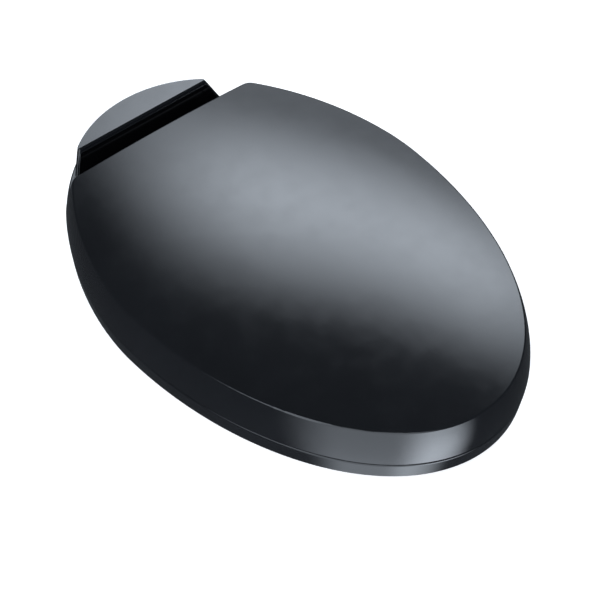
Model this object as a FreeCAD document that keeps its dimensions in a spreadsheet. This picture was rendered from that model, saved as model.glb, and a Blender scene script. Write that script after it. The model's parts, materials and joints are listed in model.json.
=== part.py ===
"""Electric bidet seat: lid, heated ring and rear housing with two wash wands, on a quick-release plate.

Millimetres, +Z up, front of the seat towards -Y. The origin is midway between the two fixing bolts, on the bowl's
rim. Every size is a cell of the Sizes sheet; sketches and primitives are bound to it by expressions.
"""

import FreeCAD
import Part
import Sketcher
import math
import os
import re
from types import SimpleNamespace

V = FreeCAD.Vector
UP = V(0, 0, 1)
RIGHT = V(1, 0, 0)
BACK = V(0, 1, 0)

SIZES = {
    # outline of the closed seat: half an ellipse in front, a fuller curve behind the widest line
    "half_width": 185.0,
    "front_reach": 293.2,
    "rear_reach": 254.6,
    "widest_line": -174.8,
    "rear_fullness": 1.8,
    # levels above the rim
    "pad_height": 6.0,
    "band_top": 25.0,
    "skirt_bottom": 26.1,
    "crease_height": 61.5,
    "skirt_lean": 9.0,
    "skirt_bow": 0.28,
    "lip_edge": 1.2,
    "band_edge": 1.4,
    "band_tuck": 2.2,
    "dome_rise": 7.5,
    "dome_spread": 1.5,
    "crease_radius": 2.0,
    # lid
    "lid_wall": 3.0,
    "lid_rear": 3.0,
    "lid_corner": 11.0,
    "lip_clearance": 5.0,
    "liner_level": 53.5,
    "liner_wall": 2.0,
    "liner_rear": -56.0,
    # hinge
    "hinge_line": 4.0,
    "hinge_height": 48.0,
    "barrel_radius": 6.2,
    "shaft_radius": 2.5,
    "running": 0.05,
    "play": 0.4,
    "ring_lug_in": 85.5,
    "ring_lug_out": 95.0,
    "lid_lug_in": 96.5,
    "lid_lug_out": 105.0,
    "bush_wall": 1.2,
    "damper_radius": 5.0,
    "damper_length": 44.0,
    # ring
    "ring_rear": -52.0,
    "ring_top": 44.0,
    "ring_wall": 3.0,
    "shoulder_inset": 14.0,
    "shoulder_lean": 4.0,
    "ring_round": 9.0,
    "hole_centre": -245.0,
    "hole_half_width": 105.0,
    "hole_reach": 140.0,
    "lip_round": 7.0,
    "arm_root": 20.0,
    "arm_root_low": 9.0,
    "arm_root_drop": 1.0,
    "arm_rise": 12.0,
    "arm_belly": 22.0,
    "arm_heel_drop": 4.0,
    "ring_pad_length": 26.0,
    "ring_pad_width": 10.0,
    "front_pad_angle": 35.0,
    "rear_pad_angle": 95.0,
    "lid_pad_radius": 5.0,
    "lid_pad_gap": 0.3,
    "foil_thickness": 0.4,
    "foil_rear_gap": 24.0,
    "foil_edge": 9.0,
    "thermostat_length": 14.0,
    "thermostat_width": 9.0,
    "thermostat_height": 4.0,
    "thermostat_reach": 30.0,
    "sensor_width": 22.0,
    "sensor_length": 40.0,
    "sensor_inset": 32.0,
    "sensor_hole_at": 14.0,
    "sensor_hole": 1.6,
    # rear housing
    "case_front": -49.5,
    "case_wall": 2.5,
    "deck_half_width": 84.0,
    "groove_height": 32.0,
    "shoulder_half_width": 94.5,
    "shoulder_height": 36.0,
    "crown_height": 59.6,
    "crown_front": 33.4,
    "crown_half_width": 85.3,
    "crown_apex": 63.8,
    "crown_foot_inset": 6.0,
    "face_lean": 0.4425,
    "face_bevel": 2.2,
    "fascia_border": 4.0,
    "fascia_thickness": 1.6,
    "fascia_foot": 0.5,
    "tray_top": 22.5,
    # wash wands
    "wand_spacing": 20.0,
    "wand_radius": 6.0,
    "wand_slope": 9.0,
    "wand_tip_line": -92.0,
    "wand_tip_height": 8.3,
    "wand_length": 88.0,
    "wand_travel": 66.0,
    "wand_gap": 0.4,
    "wand_flat_depth": 0.8,
    "wand_bore": 2.0,
    "spray_radius": 0.5,
    "cleaning_pitch": 1.6,
    "shower_pitch": 1.4,
    "tip_length": 14.0,
    "nose_length": 46.0,
    "nose_width": 42.0,
    "nose_height": 15.6,
    "nose_overhang": 1.0,
    "nose_room": 1.8,
    "gear_module": 1.0,
    "pinion_teeth": 12,
    "backlash": 0.35,
    "rack_height": 4.0,
    "pitch_offset": 8.6,
    "pinion_at": 58.5,
    "rack_start": 44.0,
    "stub_radius": 1.5,
    "motor_gap": 3.0,
    "motor_radius": 9.0,
    "motor_height": 12.0,
    # mounting
    "bolt_spacing": 140.0,
    "bolt_radius": 3.0,
    "head_radius": 6.0,
    "head_height": 2.4,
    "socket_radius": 2.4,
    "bush_radius": 6.8,
    "bush_length": 40.0,
    "bush_seat": 0.8,
    "bush_room": 1.4,
    "nut_radius": 5.2,
    "nut_height": 7.0,
    "nut_depth": 10.0,
    "plate_half_length": 100.0,
    "plate_half_width": 22.0,
    "plate_thickness": 5.4,
    "sink_floor": 2.0,
    "slot_reach": 8.0,
    "washer_radius": 7.2,
    "washer_thickness": 0.8,
    "foot_radius": 7.0,
    "front_foot_x": 115.0,
    "front_foot_y": -34.0,
    "rear_foot_x": 68.0,
    "rear_foot_y": 40.0,
    # water
    "inlet_radius": 10.48,
    "inlet_thread": 11.0,
    "inlet_neck": 9.5,
    "inlet_stem": 8.0,
    "inlet_mouth": 7.0,
    "inlet_bore": 4.0,
    "inlet_shoulder": 4.0,
    "inlet_x": 62.0,
    "inlet_z": 20.0,
    "strainer_length": 8.0,
    "strainer_radius": 5.0,
    "strainer_wall": 2.0,
    "valve_length": 26.0,
    "valve_depth": 20.8,
    "valve_height": 18.0,
    "valve_y": 28.0,
    "coil_radius": 7.0,
    "coil_length": 12.0,
    "plunger_radius": 2.0,
    "tank_length": 38.0,
    "tank_height": 27.0,
    "tank_corner": 5.0,
    "tank_x": 58.0,
    "tank_y": -26.0,
    "standoff_radius": 2.5,
    "standoff_height": 4.0,
    "hose_radius": 3.0,
    "hose_wall": 1.0,
    "hose_level": 8.0,
    "hose_bend": 6.0,
    "supply_hose_shift": 4.0,
    "diverter_length": 14.0,
    "diverter_width": 12.0,
    "diverter_x": 31.0,
    "diverter_y": 12.0,
    # electrics
    "board_thickness": 1.6,
    "board_hole": 1.5,
    "processor_side": 10.0,
    "processor_height": 2.0,
    "capacitor_radius": 4.0,
    "capacitor_height": 8.0,
    "relay_length": 6.0,
    "relay_width": 12.0,
    "relay_height": 7.0,
    "supply_length": 36.0,
    "supply_height": 24.0,
    "supply_lift": 12.0,
    "supply_gap": 2.0,
    "gland_x": 30.0,
    "gland_z": 15.5,
    "gland_radius": 5.0,
    "gland_flange": 6.5,
    "gland_flange_length": 5.0,
    "gland_length": 20.0,
    "gland_tip": 4.0,
    "cord_radius": 2.5,
    # deodorising fan
    "fan_radius": 18.0,
    "fan_x": -52.0,
    "fan_y": 24.0,
    "fan_height": 16.0,
    "fan_wall": 1.5,
    "fan_blades": 9,
    "fan_hub": 5.0,
    "fan_tip_gap": 3.0,
    "blade_thickness": 1.0,
    "blade_sweep": 2.0,
    "spindle_radius": 1.5,
    "duct_width": 14.0,
    "duct_height": 12.0,
    "duct_wall": 2.0,
    "filter_width": 20.0,
    "filter_depth": 7.0,
    "filter_pitch": 4.0,
    "filter_slot": 2.0,
    # controls in the right-hand wall
    "power_y": -33.0,
    "wash_y": -16.0,
    "release_y": 3.0,
    "button_radius": 5.0,
    "button_height": 15.3,
    "button_depth": 9.0,
    "button_proud": 1.5,
    "button_edge": 1.0,
    "button_flange": 1.5,
    "button_travel": 2.5,
    "sleeve_depth": 6.0,
    "switch_radius": 4.0,
    "switch_length": 6.0,
    "switch_gap": 0.6,
    "latch_travel": 3.0,
    "latch_radius": 2.5,
    "latch_length": 14.0,
    "catch_gap": 4.5,
    "catch_length": 5.0,
    "catch_width": 8.0,
    "catch_height": 8.0,
    # cover screws
    "post_radius": 4.0,
    "screw_radius": 1.6,
    "screw_head": 3.2,
    "screw_x": 86.5,
    "front_screw_y": -38.0,
    "rear_screw_y": 10.0,
    "screw_end_gap": 4.0,
}

doc = FreeCAD.newDocument("BidetSeat")
sheet = doc.addObject("Spreadsheet::Sheet", "Sizes")
for row, (alias, value) in enumerate(SIZES.items(), 1):
    sheet.set(f"A{row}", alias)
    sheet.set(f"B{row}", str(value))
    sheet.setAlias(f"B{row}", alias)
doc.recompute()
d = SimpleNamespace(**{alias: float(sheet.get(alias)) for alias in SIZES})
subparts = []


# ---------------------------------------------------------------- bound primitives, sketches and booleans
def expression(text):
    """The text with every alias turned into a reference to the sheet."""
    return re.sub(r"[a-z_]+", lambda w: f"Sizes.{w.group()}" if w.group() in SIZES else w.group(), str(text))


def number(text):
    """What an expression comes to."""
    return float(sheet.evalExpression(expression(text)))


def bind(obj, **values):
    for name, text in values.items():
        obj.setExpression(name.replace("__", "."), expression(text))
    return obj


def placed(obj, at, turn=None):
    """Puts obj at three expressions, turned by a fixed rotation."""
    obj.Placement = FreeCAD.Placement(V(), turn or FreeCAD.Rotation())
    return bind(obj, Placement__Base__x=at[0], Placement__Base__y=at[1], Placement__Base__z=at[2])


def block(size, at, turn=None):
    """A box centred on at in x and y, standing on it in z."""
    obj = bind(doc.addObject("Part::Box", "Block"), Length=size[0], Width=size[1], Height=size[2])
    if turn is None:
        return placed(obj, (f"{at[0]} - ({size[0]})/2", f"{at[1]} - ({size[1]})/2", at[2]))
    shift = turn.multVec(V(number(size[0]) / 2, number(size[1]) / 2, 0))
    return placed(obj, (f"{at[0]} - ({shift.x})", f"{at[1]} - ({shift.y})", f"{at[2]} - ({shift.z})"), turn)


def rod(radius, length, at, along=UP):
    """A cylinder from at, along a direction."""
    obj = bind(doc.addObject("Part::Cylinder", "Rod"), Radius=radius, Height=length)
    return placed(obj, at, FreeCAD.Rotation(UP, along))


def cone(radius_low, radius_high, length, at, along=UP):
    obj = bind(doc.addObject("Part::Cone", "Cone"), Radius1=radius_low, Radius2=radius_high, Height=length)
    return placed(obj, at, FreeCAD.Rotation(UP, along))


def join(*objects):
    fused = doc.addObject("Part::MultiFuse", "Join")
    fused.Shapes = list(objects)
    fused.Refine = True
    return fused


def cut(base, *tools):
    tool = tools[0] if len(tools) == 1 else join(*tools)
    result = doc.addObject("Part::Cut", "Cut")
    result.Base = base
    result.Tool = tool
    return result


def solid(shape):
    """A shape made with Part's own functions, for curved skins that no sketch holds."""
    obj = doc.addObject("Part::Feature", "Skin")
    obj.Shape = shape
    return obj


def keep(obj, node):
    obj.Label = node
    subparts.append(obj)
    return obj


def body_at(at=("0", "0", "0"), turn=None):
    return placed(doc.addObject("PartDesign::Body", "Body"), at, turn)


def sketch_on(body, role="XY_Plane"):
    sketch = body.newObject("Sketcher::SketchObject", "Sketch")
    plane = next(feature for feature in body.Origin.OriginFeatures if feature.Role == role)
    sketch.AttachmentSupport = [(plane, "")]
    sketch.MapMode = "FlatFace"
    return sketch


def pin_point(sketch, geometry, point, x, y):
    for kind, text in (("DistanceX", x), ("DistanceY", y)):
        index = sketch.addConstraint(Sketcher.Constraint(kind, -1, 1, geometry, point, number(text)))
        sketch.setExpression(f"Constraints[{index}]", expression(text))


def polygon(sketch, corners):
    """A closed outline of straight lines, with every corner bound to the sheet."""
    points = [V(number(x), number(y), 0) for x, y in corners]
    first = sketch.GeometryCount
    count = len(points)
    for i in range(count):
        sketch.addGeometry(Part.LineSegment(points[i], points[(i + 1) % count]))
    for i in range(count):
        sketch.addConstraint(Sketcher.Constraint("Coincident", first + i, 2, first + (i + 1) % count, 1))
    for i, (x, y) in enumerate(corners):
        pin_point(sketch, first + i, 1, x, y)


def circle(sketch, x, y, radius):
    centre = V(number(x), number(y), 0)
    index = sketch.addGeometry(Part.Circle(centre, UP, number(radius)))
    pin_point(sketch, index, 3, x, y)
    held = sketch.addConstraint(Sketcher.Constraint("Radius", index, number(radius)))
    sketch.setExpression(f"Constraints[{held}]", expression(radius))


def pad(body, sketch, length):
    return bind(feature(body, "PartDesign::Pad", sketch), Length=length)


def feature(body, kind, sketch):
    obj = body.newObject(kind, "Feature")
    obj.Profile = sketch
    return obj


def pocket(body, sketch, length, reverse=False):
    """Cuts the sketch into the body, and makes sure that something was cut."""
    doc.recompute()
    before = body.Shape.Volume
    obj = bind(feature(body, "PartDesign::Pocket", sketch), Length=length)
    obj.Reversed = reverse
    doc.recompute()
    if not body.Shape.Volume < before:
        raise RuntimeError(f"pocket in {body.Label} cuts nothing")
    return obj


def turned(corners, at, along=UP):
    """A body turned from a half profile of (radius, distance along its axis)."""
    body = body_at(at, FreeCAD.Rotation(UP, along))
    sketch = sketch_on(body, "XZ_Plane")
    polygon(sketch, corners)
    obj = feature(body, "PartDesign::Revolution", sketch)
    obj.ReferenceAxis = (sketch, ["V_Axis"])
    obj.Angle = 360
    return body


def around(body, feature_made, count):
    """Repeats a feature evenly round the body's upright axis."""
    doc.recompute()
    ring = body.newObject("PartDesign::PolarPattern", "Feature")
    ring.Originals = [feature_made]
    ring.Axis = (next(f for f in body.Origin.OriginFeatures if f.Role == "Z_Axis"), [""])
    ring.Angle = 360
    ring.Occurrences = count
    body.Tip = ring


def plate(corners, thickness, at, holes=(), turn=None):
    """A body padded from an outline, with round holes (x, y, radius)."""
    body = body_at(at, turn)
    sketch = sketch_on(body)
    polygon(sketch, corners)
    for x, y, radius in holes:
        circle(sketch, x, y, radius)
    pad(body, sketch, thickness)
    return body


def rectangle(width, depth):
    return [
        (f"-({width})/2", f"-({depth})/2"),
        (f"({width})/2", f"-({depth})/2"),
        (f"({width})/2", f"({depth})/2"),
        (f"-({width})/2", f"({depth})/2"),
    ]


SHAFT_LINE = ("hinge_line", "hinge_height")
TRAY_FLOOR = "(pad_height + case_wall)"
CONTROLS = {"power_button": d.power_y, "wash_button": d.wash_y, "release_button": d.release_y}
SCREW_SPOTS = [(side * d.screw_x, y) for side in (-1, 1) for y in (d.front_screw_y, d.rear_screw_y)]
FILTER_SLOTS = (-1.5, -0.5, 0.5, 1.5)
WAND_TURN = FreeCAD.Rotation(RIGHT, d.wand_slope)
WAND_UP = WAND_TURN.multVec(UP)


# ---------------------------------------------------------------- the seat's outline
APEX = math.pi / 2
APEX_WIDTH = 0.01
OUTLINE_POINTS = 9
FAR = 400.0


def lean_at(z):
    """How far the outline stands in from the skirt's lower edge at a level; the skirt bows outwards."""
    if z >= d.skirt_bottom:
        share = (z - d.skirt_bottom) / (d.crease_height - d.skirt_bottom)
        return d.skirt_lean * share * (d.skirt_bow + (1 - d.skirt_bow) * share)
    return d.band_tuck * (d.skirt_bottom - z) / (d.skirt_bottom - d.pad_height)


def rear_point(inset, angle):
    """A point of the outline behind the widest line; angle runs from the side (0) to the apex."""
    power = 2 / d.rear_fullness
    x = (d.half_width - inset) * math.cos(angle) ** power
    y = d.widest_line + (d.rear_reach - inset) * math.sin(angle) ** power
    return x, y


def rear_angle(inset, y):
    """The angle at which the rear outline reaches a line across the seat."""
    share = (y - d.widest_line) / (d.rear_reach - inset)
    return math.asin(min(share, 1.0) ** (d.rear_fullness / 2))


def rear_curve(inset, z, start, end):
    """The right-hand rear outline between two angles, as one smooth curve."""
    steps = [start + (end - start) * i / OUTLINE_POINTS for i in range(OUTLINE_POINTS + 1)]
    points = [V(*rear_point(inset, angle), z) for angle in steps]
    curve = Part.BSplineCurve()
    curve.interpolate(points)
    return curve.toShape()


def mirrored(edge):
    return edge.mirror(V(), RIGHT)


def seat_wire(inset, z, rear):
    """The outline at a level, cut straight across at the line y = rear, or whole when rear lies behind it."""
    half = d.half_width - inset
    centre = V(0, d.widest_line, z)
    front = V(0, d.widest_line - (d.front_reach - inset), z)
    ellipse = Part.Ellipse(front, V(half, d.widest_line, z), centre)
    sides = [ellipse.parameter(V(side * half, d.widest_line, z)) for side in (-1, 1)]
    front = Part.Arc(ellipse, sides[0], sides[1])
    if front.value((front.FirstParameter + front.LastParameter) / 2).y > d.widest_line:
        front = Part.Arc(ellipse, sides[1], sides[0])
    right = rear_curve(inset, z, 0, rear_angle(inset, rear))
    left = mirrored(right)
    corner = right.Vertexes[-1].Point
    edges = [front.toShape(), right, left]
    if corner.x > APEX_WIDTH:
        edges.append(Part.LineSegment(corner, V(-corner.x, corner.y, z)).toShape())
    return Part.Wire(Part.__sortEdges__(edges))


def seat_loft(inset, levels, rear):
    """The outline carried up through the given levels, as one smooth wall."""
    wires = [seat_wire(inset + lean_at(z), z, rear) for z in levels]
    return Part.makeLoft(wires, True, len(levels) == 2)


def rear_wire(inset, z, front):
    """The part of the outline behind the line y = front, closed by a straight front edge."""
    start = rear_angle(inset, front)
    right = rear_curve(inset, z, start, APEX)
    left = mirrored(right)
    corner = right.Vertexes[0].Point
    closing = Part.LineSegment(V(-corner.x, corner.y, z), corner).toShape()
    return Part.Wire(Part.__sortEdges__([right, left, closing]))


def slab(low, high, rear=FAR, front=-3 * FAR):
    """Everything between two levels and two lines across the seat."""
    return Part.makeBox(4 * FAR, rear - front, high - low, V(-2 * FAR, front, low))


def dome(drop):
    """The flattened ball whose top is the lid's dome; drop lowers it for the inner skin."""
    long_half = (d.front_reach + d.rear_reach) / 2 - d.skirt_lean
    middle = d.widest_line - (d.front_reach - d.rear_reach) / 2
    edge_share = math.sqrt(1 - 1 / d.dome_spread**2)
    high = d.dome_rise / (1 - edge_share)
    stretch = FreeCAD.Matrix()
    stretch.scale(V((d.half_width - d.skirt_lean) * d.dome_spread, long_half * d.dome_spread, high))
    ball = Part.makeSphere(1)
    ball.rotate(V(), BACK, 90)
    ball = ball.transformGeometry(stretch)
    ball.translate(V(0, middle, d.crease_height + d.dome_rise - high - drop))
    return ball


def edges_where(shape, test):
    return [edge for edge in shape.Edges if test(edge)]


def rounded(shape, radius, test):
    """Rounds the edges that pass a test."""
    chosen = edges_where(shape, test)
    if not chosen:
        raise RuntimeError("no edge to round")
    return shape.makeFillet(radius, chosen)


def shaft_bore(radius):
    """A bore along the whole hinge line."""
    return Part.makeCylinder(radius, 2 * FAR, V(-FAR, d.hinge_line, d.hinge_height), RIGHT)


# ---------------------------------------------------------------- lid
def lid_solid(inset, drop, low, rear, corner):
    """The lid's full form: leaning skirt under the dome, with rounded rear corners."""
    high = d.crease_height + d.dome_rise + d.crease_radius
    skirt = seat_loft(inset, [low, (low + d.crease_height) / 2, high], rear)
    upright = rounded(
        skirt,
        corner,
        lambda e: all(abs(v.Y - rear) < 0.01 for v in e.Vertexes) and e.BoundBox.ZLength > d.dome_rise,
    )
    return upright.common(dome(drop))


def hinge_lug(side, inner, outer):
    """A round lug on the hinge line, between two distances from the middle."""
    start = V(min(side * inner, side * outer), d.hinge_line, d.hinge_height)
    return Part.makeCylinder(d.barrel_radius, outer - inner, start, RIGHT)


def crease_edge(edge):
    """An edge between the dome and the skirt, or between the dome and the straight rear."""
    return edge.BoundBox.ZMin > d.crease_height - 1


def lip_at(level, rear):
    """A test for the outline's own edges at a level, without the straight one at the rear."""
    def on_lip(edge):
        box = edge.BoundBox
        return abs(box.ZMax - level) < 0.01 and box.ZLength < 0.01 and box.YMin < rear - 1

    return on_lip


def make_lid():
    outer = lid_solid(0, 0, d.skirt_bottom, d.lid_rear, d.lid_corner)
    outer = rounded(outer, d.crease_radius, crease_edge)
    outer = rounded(outer, d.lip_edge, lip_at(d.skirt_bottom, d.lid_rear))
    room_rear = d.lid_rear - d.lid_wall
    room = lid_solid(d.lid_wall, d.lid_wall, d.skirt_bottom - 1, room_rear, d.lid_corner - d.lid_wall)
    gap_half = d.lid_lug_in - 2 * d.play
    gap_top = d.hinge_height + d.barrel_radius + d.lip_clearance
    gap_low = d.skirt_bottom - 1
    gap_corner = V(-gap_half, room_rear - d.lid_wall, gap_low)
    gap = Part.makeBox(2 * gap_half, 4 * d.lid_wall, gap_top - gap_low, gap_corner)
    lugs = {side: hinge_lug(side, d.lid_lug_in, d.lid_lug_out) for side in (-1, 1)}
    sockets = [hinge_lug(side, gap_half - 1, d.lid_lug_out) for side in (-1, 1)]
    shell = outer.cut(room).cut(gap).cut(Part.makeCompound(sockets))
    keep(solid(shell), "lid_shell")

    level = slab(d.liner_level, d.liner_level + d.liner_wall, d.liner_rear)
    keep(solid(room.common(level)), "lid_liner")
    pads = []
    for angle in (-d.front_pad_angle, d.front_pad_angle):
        x, y = ring_middle(math.radians(angle))
        low = "ring_top + lid_pad_gap"
        pads.append(rod("lid_pad_radius", f"liner_level - ({low})", (str(x), str(y), low)))
    keep(join(*pads), "lid_pads")
    for side, name in ((-1, "left"), (1, "right")):
        low = d.hinge_height - d.barrel_radius
        start = min(side * d.lid_lug_in, side * d.lid_lug_out)
        depth = 3 * d.barrel_radius
        corner = V(start, room_rear - depth, low)
        hanger = Part.makeBox(d.lid_lug_out - d.lid_lug_in, depth, d.crease_height, corner)
        radius = d.shaft_radius + (0 if side > 0 else d.running)
        lug = lugs[side].fuse(hanger.common(room)).cut(shaft_bore(radius))
        keep(solid(lug.removeSplitter()), f"lid_lug_{name}")


# ---------------------------------------------------------------- seat ring
def hole_solid(grow, low, high):
    """The ring's opening, grown by a wall, between two levels."""
    centre = V(0, d.hole_centre, low)
    long_end = V(0, d.hole_centre - d.hole_reach - grow, low)
    side = V(d.hole_half_width + grow, d.hole_centre, low)
    face = Part.Face(Part.Wire([Part.Ellipse(long_end, side, centre).toShape()]))
    return face.extrude(V(0, 0, high - low))


def nose_space(grow):
    """The tilted room that the nozzle bay's nose takes up, grown on every side."""
    length = 3 * d.wand_length
    box = Part.makeBox(
        d.nose_width + 2 * grow,
        length,
        d.nose_height + 2 * grow,
        V(-d.nose_width / 2 - grow, -length / 2, -d.nose_height / 2 - grow),
    )
    box.Placement = FreeCAD.Placement(V(0, d.wand_tip_line, d.wand_tip_height), WAND_TURN)
    return box


def ring_form(inset, low, high, rear):
    """The ring's outside without its opening: a low band, and a rounded body standing in from it."""
    band = seat_loft(inset, [low, d.band_top - inset], rear)
    first = d.shoulder_inset + inset
    body = Part.makeLoft(
        [
            seat_wire(first, low, rear),
            seat_wire(first, d.band_top - inset, rear),
            seat_wire(first + d.shoulder_lean, high, rear),
        ],
        True,
        True,
    )
    return band, body


def make_ring():
    band, body = ring_form(0, d.pad_height, d.ring_top, d.ring_rear)
    top = d.ring_top - 0.01
    band = rounded(band, d.band_edge, lip_at(d.band_top, d.ring_rear))
    band = rounded(band, d.band_edge, lip_at(d.pad_height, d.ring_rear))
    body = rounded(body, d.ring_round, lambda e: e.BoundBox.ZMin > top)
    form = band.fuse(body).cut(hole_solid(0, 0, FAR / 4))
    form = rounded(form, d.lip_round, lambda e: e.BoundBox.ZMin > top and inside_hole(e))
    inner_band, inner_body = ring_form(d.ring_wall, 0, d.ring_top - d.ring_wall, d.ring_rear - d.ring_wall)
    room = inner_band.fuse(inner_body).cut(hole_solid(d.ring_wall, 0, FAR / 4))
    recess = nose_space(d.nose_room)
    room = room.cut(nose_space(d.nose_room + d.ring_wall))
    shell = form.cut(room).cut(recess)
    for side in (-1, 1):
        shell = shell.fuse(ring_arm(side))
    shell = shell.cut(shaft_bore(d.shaft_radius + d.bush_wall))
    keep(solid(shell.removeSplitter()), "ring_top_shell")

    floor = slab(d.pad_height, d.pad_height + d.ring_wall)
    keep(solid(room.common(floor)), "ring_bottom_shell")
    foil_top = d.ring_top - d.ring_wall
    outline = seat_wire(2 * d.shoulder_inset, foil_top, d.ring_rear - d.foil_rear_gap)
    foil = Part.Face(outline).extrude(V(0, 0, -d.foil_thickness))
    keep(solid(foil.cut(hole_solid(d.foil_edge, 0, FAR / 4)).cut(nose_space(d.foil_edge))), "heating_foil")


def inside_hole(edge):
    return edge.BoundBox.XLength < 2 * d.hole_half_width + 1


def ring_arm(side):
    """A hinge arm: from the ring's rear, over the housing's shoulder, to a round lug on the hinge line."""
    low_side = d.hinge_height - d.barrel_radius
    profile = [
        (d.ring_rear - d.arm_root, d.ring_top - d.arm_root_low),
        (d.ring_rear - d.arm_root, d.ring_top - d.arm_root_drop),
        (d.ring_rear + d.arm_rise, d.hinge_height + d.barrel_radius - d.arm_root_drop),
        (d.hinge_line, d.hinge_height + d.barrel_radius),
        (d.hinge_line, low_side),
        (d.ring_rear + d.arm_belly, low_side - d.play),
        (d.ring_rear - d.arm_root_drop, d.ring_top - d.arm_heel_drop),
    ]
    start = min(side * d.ring_lug_in, side * d.ring_lug_out)
    outline = Part.makePolygon([V(start, y, z) for y, z in profile + profile[:1]])
    arm = Part.Face(outline).extrude(V(d.ring_lug_out - d.ring_lug_in, 0, 0))
    return arm.fuse(hinge_lug(side, d.ring_lug_in, d.ring_lug_out))


def ring_middle(angle):
    """A point midway between the ring's opening and its edge; angle is measured from the front."""
    out_x = (d.half_width - d.shoulder_inset) * math.sin(angle)
    out_y = d.widest_line - (d.front_reach - d.shoulder_inset) * math.cos(angle)
    in_x = d.hole_half_width * math.sin(angle)
    in_y = d.hole_centre - d.hole_reach * math.cos(angle)
    return (out_x + in_x) / 2, (out_y + in_y) / 2


def make_ring_fittings():
    pads = []
    for angle in (-d.rear_pad_angle, -d.front_pad_angle, d.front_pad_angle, d.rear_pad_angle):
        x, y = ring_middle(math.radians(angle))
        body = body_at((str(x), str(y), "0"), FreeCAD.Rotation(UP, angle))
        sketch = sketch_on(body)
        polygon(sketch, rectangle("ring_pad_length", "ring_pad_width"))
        pad(body, sketch, "pad_height")
        pads.append(body)
    keep(join(*pads), "ring_pads")

    for side, name in ((-1, "left"), (1, "right")):
        start = (f"{side} * ring_lug_in", *SHAFT_LINE)
        outward = V(side, 0, 0)
        bore = "shaft_radius + running" if side > 0 else "shaft_radius"
        sleeve = rod("shaft_radius + bush_wall", "ring_lug_out - ring_lug_in", start, outward)
        keep(cut(sleeve, rod(bore, "ring_lug_out - ring_lug_in", start, outward)), f"ring_bush_{name}")

    foil_low = "ring_top - ring_wall - foil_thickness"
    front = "hole_centre - hole_reach - thermostat_reach"
    body = rectangle("thermostat_length", "thermostat_width")
    keep(plate(body, "thermostat_height", ("0", front, f"{foil_low} - thermostat_height")), "thermostat")
    at = ("half_width - shoulder_inset - sensor_inset", "widest_line", f"{foil_low} - board_thickness")
    holes = [("0", f"{end} * sensor_hole_at", "sensor_hole") for end in (-1, 1)]
    keep(plate(rectangle("sensor_width", "sensor_length"), "board_thickness", at, holes), "occupancy_sensor")


# ---------------------------------------------------------------- rear housing
def face_line(z):
    """Where the crown's leaning front face stands at a level."""
    return d.crown_front - (d.crown_height - z) * d.face_lean


def crown_form(inset, low):
    """The half-moon: a round-backed top over the band's own outline, with a leaning straight face."""
    top = d.crown_height - inset
    foot = rear_wire(d.crown_foot_inset + inset + lean_at(low), low, face_line(low) + inset)
    start = d.crown_half_width - inset
    front = face_line(top) + inset
    arc = Part.Arc(V(start, front, top), V(0, d.crown_apex - inset, top), V(-start, front, top)).toShape()
    edge = Part.LineSegment(V(-start, front, top), V(start, front, top)).toShape()
    return Part.makeLoft([foot, Part.Wire([arc, edge])], True, True)


def crown_flare():
    """How far the crown's leaning sides spread for each millimetre down."""
    inset = d.crown_foot_inset + lean_at(d.tray_top)
    foot_half, _ = rear_point(inset, rear_angle(inset, face_line(d.tray_top)))
    return (foot_half - d.crown_half_width) / (d.crown_height - d.tray_top)


def deck_form(inset, low):
    """The deck ahead of the hinge line, its round tunnel, and the groove's floor behind it."""
    radius = d.barrel_radius if inset == 0 else d.damper_radius + d.running
    top = d.hinge_height + d.barrel_radius
    lid_side = top - inset
    end = d.hinge_line + radius
    back = face_line(d.groove_height) + 2 * d.case_wall
    lines = [
        (d.case_front + inset, low),
        (d.case_front + inset, lid_side),
        (d.hinge_line - (0 if inset == 0 else radius), lid_side),
    ]
    wire = [V(0, y, z) for y, z in lines]
    edges = [Part.LineSegment(a, b).toShape() for a, b in zip(wire, wire[1:])]
    crest = V(0, d.hinge_line, d.hinge_height + radius)
    if inset:
        step = V(0, d.hinge_line - radius, d.hinge_height)
        edges.append(Part.LineSegment(wire[-1], step).toShape())
        middle = V(0, d.hinge_line, d.hinge_height + radius)
        edges.append(Part.Arc(step, middle, V(0, end, d.hinge_height)).toShape())
    else:
        slant = radius * math.sqrt(0.5)
        middle = V(0, d.hinge_line + slant, d.hinge_height + slant)
        edges.append(Part.Arc(crest, middle, V(0, end, d.hinge_height)).toShape())
    tail = [
        V(0, end, d.hinge_height),
        V(0, end, d.groove_height - inset),
        V(0, back, d.groove_height - inset),
        V(0, back, low),
        wire[0],
    ]
    edges += [Part.LineSegment(a, b).toShape() for a, b in zip(tail, tail[1:])]
    half = d.deck_half_width - inset
    return Part.Face(Part.Wire(edges)).extrude(V(2 * half, 0, 0)).translated(V(-half, 0, 0))


def shoulder_form(inset, low):
    half = d.shoulder_half_width - inset
    back = face_line(d.shoulder_height) + d.case_wall
    return Part.makeBox(
        2 * half, back - d.case_front - inset, d.shoulder_height - inset - low, V(-half, d.case_front + inset, low)
    )


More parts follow.
